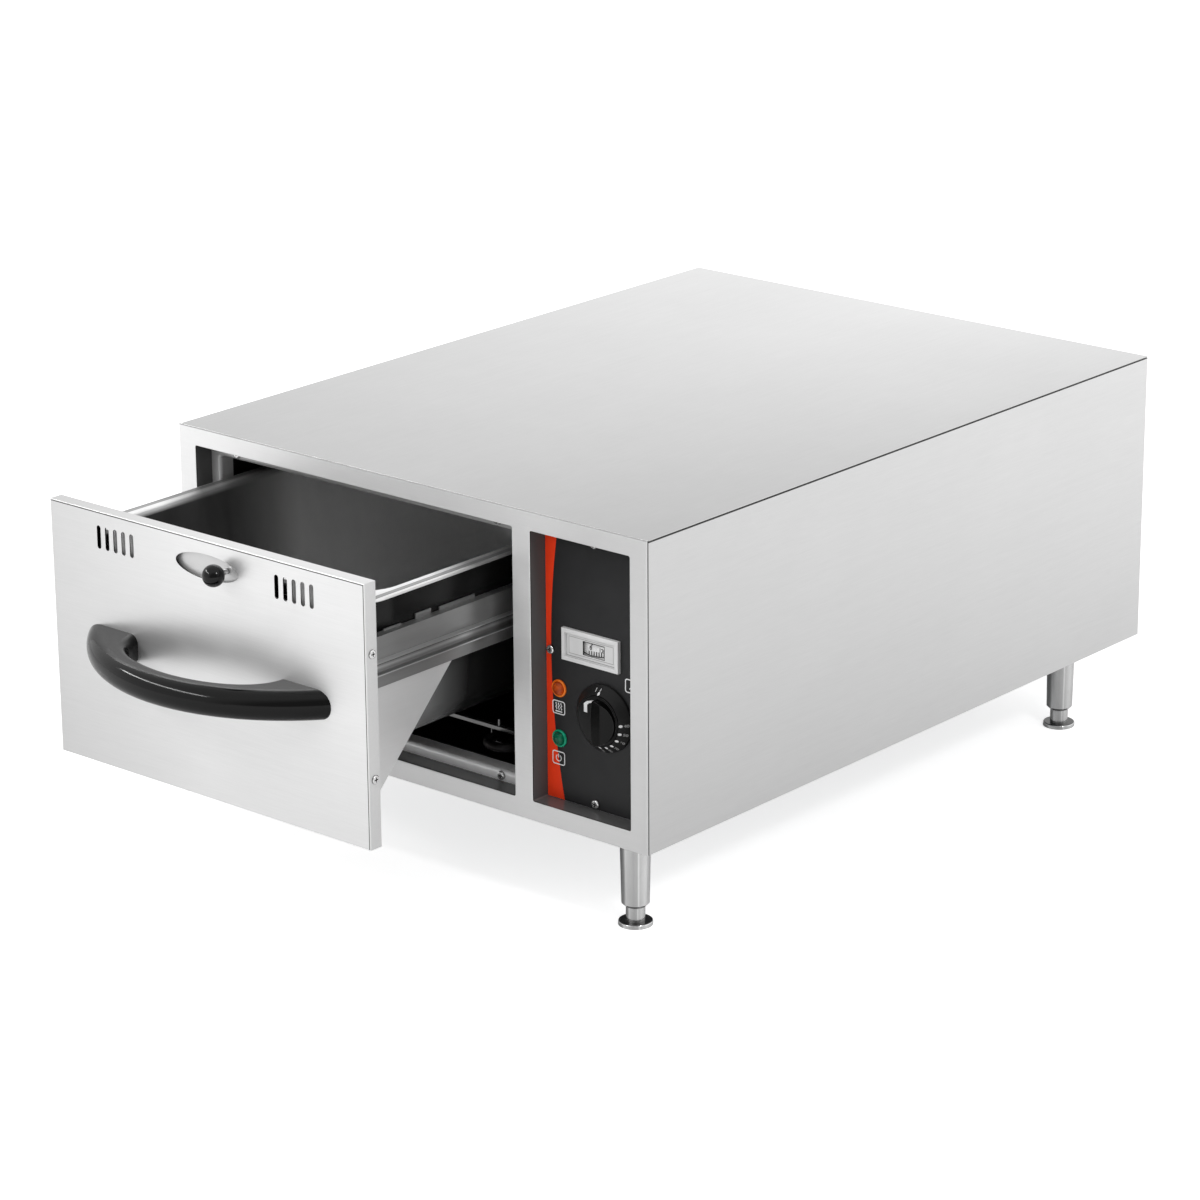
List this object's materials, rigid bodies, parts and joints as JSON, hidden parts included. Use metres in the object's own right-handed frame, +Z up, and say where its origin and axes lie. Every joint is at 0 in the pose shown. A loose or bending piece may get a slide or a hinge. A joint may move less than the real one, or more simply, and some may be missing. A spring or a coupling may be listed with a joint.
{
  "type": "warming drawer",
  "caption": "Low insulated cabinet on feet with a sliding pan drawer, bow handle, vent shutter, heating loop and a recessed panel with thermostat, lamps and thermometer.",
  "frame": {"origin": "on the floor, under the middle of the whole object with its drawer as stored", "axes": "+X to the right along the front, +Y into the depth, +Z up; the front faces -Y"},
  "size_m": [0.52, 0.952, 0.334],
  "materials": {
    "cabinet_steel": "satin brushed",
    "front_steel": "satin brushed, horizontal grain",
    "inner_steel": "dull brushed",
    "frame_steel": "satin",
    "pan_steel": "polished",
    "galvanised_steel": "galvanised",
    "screw_steel": "bright",
    "leg_steel": "polished",
    "element_sheath": "heat darkened",
    "insulation_wool": "matte mineral wool",
    "roller_nylon": "matte",
    "handle_black": "gloss",
    "knob_black": "gloss",
    "dial_black": "satin",
    "overlay_film": "matte",
    "bezel_grey": "satin",
    "clear_window": "clear",
    "card_white": "matte",
    "needle_paint": "matte",
    "amber_plastic": "moulded facets",
    "green_plastic": "moulded facets",
    "instrument_body": "matte",
    "copper_tube": "satin",
    "ceramic_white": "matte",
    "wire_sleeve": "matte",
    "gland_black": "matte"
  },
  "bodies": {
    "cabinet": {"front_frame": "front_steel", "top_panel": "cabinet_steel", "side_panel_left": "cabinet_steel", "side_panel_right": "cabinet_steel", "bottom_panel": "galvanised_steel", "rear_panel": "cabinet_steel", "divider_wall": "galvanised_steel", "rear_screws": "screw_steel", "cavity_liner": "inner_steel", "cavity_front_trim": "frame_steel", "front_screws": "screw_steel", "insulation_blankets": "insulation_wool", "heating_element": "element_sheath", "element_bushings": "ceramic_white", "element_bridges": "frame_steel", "fixed_rails": "frame_steel", "front_roller_pins": "screw_steel", "control_panel": "galvanised_steel", "control_overlay": "overlay_film", "thermostat_body": "instrument_body", "thermostat_dial": "dial_black", "thermostat_bulb": "copper_tube", "lamp_housings": "instrument_body", "green_lens": "green_plastic", "amber_lens": "amber_plastic", "thermometer_bezel": "bezel_grey", "thermometer_lens": "clear_window", "thermometer_card": "card_white", "thermometer_body": "instrument_body", "thermometer_bulb": "copper_tube", "terminal_block": "ceramic_white", "wiring_loom": "wire_sleeve", "cable_gland": "gland_black", "leg_tubes": "leg_steel", "leg_nuts": "screw_steel"},
    "thermostat_control": {"thermostat_shaft": "screw_steel", "thermostat_knob": "knob_black"},
    "needle": {"thermometer_needle": "needle_paint"},
    "drawer": {"drawer_front_panel": "front_steel", "drawer_inner_plate": "frame_steel", "panel_screws": "screw_steel", "handle": "handle_black", "handle_screws": "screw_steel", "shutter_guides": "frame_steel", "drawer_sides": "frame_steel", "drawer_rails": "frame_steel", "front_gussets": "frame_steel", "pan_rests": "frame_steel", "food_pan": "pan_steel", "rear_roller_pins": "screw_steel"},
    "shutter": {"vent_shutter": "frame_steel", "vent_knob_stem": "screw_steel", "vent_knob": "knob_black"},
    "front_rollers": {"front_rollers": "roller_nylon"},
    "rear_rollers": {"rear_rollers": "roller_nylon"},
    "foot_front_left": {"foot_front_left": "leg_steel"},
    "foot_front_right": {"foot_front_right": "leg_steel"},
    "foot_rear_left": {"foot_rear_left": "leg_steel"},
    "foot_rear_right": {"foot_rear_right": "leg_steel"}
  },
  "joints": [
    {"name": "drawer_slide", "type": "slide", "parent": "cabinet", "child": "drawer", "axis": [0, -1, 0], "range_m": [-0.169, 0.276]},
    {"name": "front_roller_turn", "type": "hinge", "parent": "cabinet", "child": "front_rollers", "pos_m": [-0.06055, -0.196, 0.2298], "axis": [1, 0, 0], "continuous": true},
    {"name": "rear_roller_turn", "type": "hinge", "parent": "drawer", "child": "rear_rollers", "pos_m": [-0.06055, 0.181, 0.2298], "axis": [1, 0, 0], "continuous": true},
    {"name": "vent_shutter_slide", "type": "slide", "parent": "drawer", "child": "shutter", "axis": [1, 0, 0], "range_m": [-0.0175, 0.012]},
    {"name": "thermostat_turn", "type": "hinge", "parent": "cabinet", "child": "thermostat_control", "pos_m": [0.201, -0.22, 0.1685], "axis": [0, 1, 0], "range_deg": [0, 210]},
    {"name": "thermometer_needle_turn", "type": "hinge", "parent": "cabinet", "child": "needle", "pos_m": [0.1904, -0.2205, 0.2325], "axis": [0, -1, 0], "range_deg": [0, 70]},
    {"name": "foot_front_left_height", "type": "slide", "parent": "cabinet", "child": "foot_front_left", "axis": [0, 0, -1], "range_m": [-0.01, 0.012]},
    {"name": "foot_front_right_height", "type": "slide", "parent": "cabinet", "child": "foot_front_right", "axis": [0, 0, -1], "range_m": [-0.01, 0.012]},
    {"name": "foot_rear_left_height", "type": "slide", "parent": "cabinet", "child": "foot_rear_left", "axis": [0, 0, -1], "range_m": [-0.01, 0.012]},
    {"name": "foot_rear_right_height", "type": "slide", "parent": "cabinet", "child": "foot_rear_right", "axis": [0, 0, -1], "range_m": [-0.01, 0.012]}
  ],
  "couplings": [
    {"joint": "front_roller_turn", "follows": "drawer_slide", "rad_per_m": 243.9},
    {"joint": "rear_roller_turn", "follows": "drawer_slide", "rad_per_m": 243.9}
  ]
}
